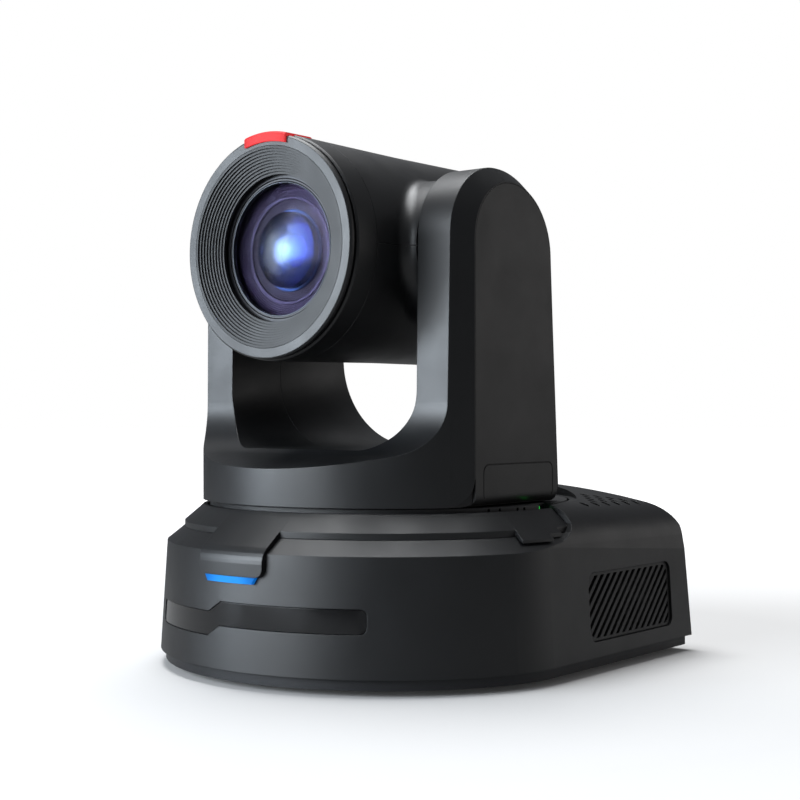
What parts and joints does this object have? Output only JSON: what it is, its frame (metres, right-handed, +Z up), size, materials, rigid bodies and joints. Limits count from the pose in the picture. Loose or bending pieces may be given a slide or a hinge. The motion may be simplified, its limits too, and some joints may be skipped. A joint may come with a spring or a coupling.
{
  "type": "ptz camera",
  "caption": "Pan, tilt and zoom camera: a round-fronted base with a raised vented tail, a turning two-armed yoke and a barrel head that nods between the arms.",
  "frame": {"origin": "where the pan axis meets the surface that the camera stands on", "axes": "+Z up along the pan axis; the lens looks along -Y at rest; +X is to the right of someone facing the lens; the sockets face +Y"},
  "size_m": [0.14, 0.145, 0.1599],
  "materials": {
    "casing_plastic": "satin black with a fine moulded texture",
    "grille_plastic": "matt black",
    "baffle_plastic": "satin black",
    "window_plastic": "glossy black, clear to infrared light",
    "status_blue": "clear blue, lit",
    "tally_red": "frosted red, lit",
    "floor_metal": "black coated sheet and cast metal",
    "power_green": "clear green, lit",
    "foot_rubber": "matt",
    "screw_steel": "machined",
    "bearing_steel": "polished",
    "socket_metal": "plated",
    "socket_plastic": "black",
    "circuit_board": "green solder mask",
    "sink_aluminium": "extruded",
    "motor_case": "black",
    "gear_plastic": "natural white",
    "lens_metal": "black anodised",
    "lens_glass": "coated optical glass"
  },
  "bodies": {
    "base": {"base_shell": "casing_plastic", "infrared_window": "window_plastic", "side_grille_left": "grille_plastic", "side_grille_right": "grille_plastic", "collar": "casing_plastic", "status_light": "status_blue", "base_plate": "floor_metal", "rubber_feet": "foot_rubber", "base_screws": "screw_steel", "rear_panel": "casing_plastic", "network_socket": "socket_metal", "usb_socket": "socket_metal", "hdmi_socket": "socket_metal", "power_inlet": "socket_plastic", "serial_socket": "socket_plastic", "sdi_connector": "socket_metal", "main_board": "circuit_board", "heat_sink": "sink_aluminium", "interface_board": "circuit_board", "infrared_receiver": "window_plastic", "status_led_board": "circuit_board", "pan_post": "screw_steel", "pan_bearing": "bearing_steel", "bearing_retainer": "screw_steel", "pan_motor": "motor_case"},
    "pan_drive": {"pan_pinion": "screw_steel"},
    "yoke": {"turntable": "floor_metal", "pan_gear": "gear_plastic", "pan_ring": "grille_plastic", "power_lamp": "power_green", "yoke_front_casing": "casing_plastic", "yoke_rear_casing": "casing_plastic", "side_cover_right": "casing_plastic", "side_cover_left": "casing_plastic", "yoke_frame": "floor_metal", "tilt_bearing_right": "bearing_steel", "tilt_bearing_left": "bearing_steel", "tilt_motor": "motor_case", "yoke_board": "circuit_board"},
    "tilt_drive": {"tilt_pinion": "screw_steel"},
    "head": {"head_upper_cover": "casing_plastic", "head_lower_cover": "casing_plastic", "front_band": "casing_plastic", "front_ring": "casing_plastic", "light_baffle": "baffle_plastic", "tally_light": "tally_red", "tilt_shaft_right": "screw_steel", "tilt_shaft_left": "screw_steel", "tilt_gear": "gear_plastic", "lens_mount": "floor_metal", "lens_barrel": "lens_metal", "lens_retainer": "lens_metal", "front_lens": "lens_glass", "guide_rods": "screw_steel", "sensor_board": "circuit_board"},
    "zoom_group": {"zoom_carriage": "lens_metal", "zoom_lens": "lens_glass"},
    "focus_group": {"focus_carriage": "lens_metal", "focus_lens": "lens_glass"}
  },
  "joints": [
    {"name": "pan", "type": "hinge", "parent": "base", "child": "yoke", "pos_m": [0, 0, 0], "axis": [0, 0, 1], "range_deg": [-170, 170]},
    {"name": "pan_motor_spin", "type": "hinge", "parent": "base", "child": "pan_drive", "pos_m": [0, -0.0448, 0], "axis": [0, 0, 1], "range_deg": [-1025, 1025]},
    {"name": "tilt", "type": "hinge", "parent": "yoke", "child": "head", "pos_m": [0, -0.0107, 0.1263], "axis": [-1, 0, 0], "range_deg": [-30, 90]},
    {"name": "tilt_motor_spin", "type": "hinge", "parent": "yoke", "child": "tilt_drive", "pos_m": [0, -0.0107, 0.1071], "axis": [-1, 0, 0], "range_deg": [-275, 95]},
    {"name": "zoom", "type": "slide", "parent": "head", "child": "zoom_group", "axis": [0, -1, 0], "range_m": [-0.022, 0.004]},
    {"name": "focus", "type": "slide", "parent": "head", "child": "focus_group", "axis": [0, -1, 0], "range_m": [-0.009, 0.002]}
  ],
  "couplings": [
    {"joint": "pan_motor_spin", "follows": "pan", "ratio": -6},
    {"joint": "tilt_motor_spin", "follows": "tilt", "ratio": -3}
  ]
}
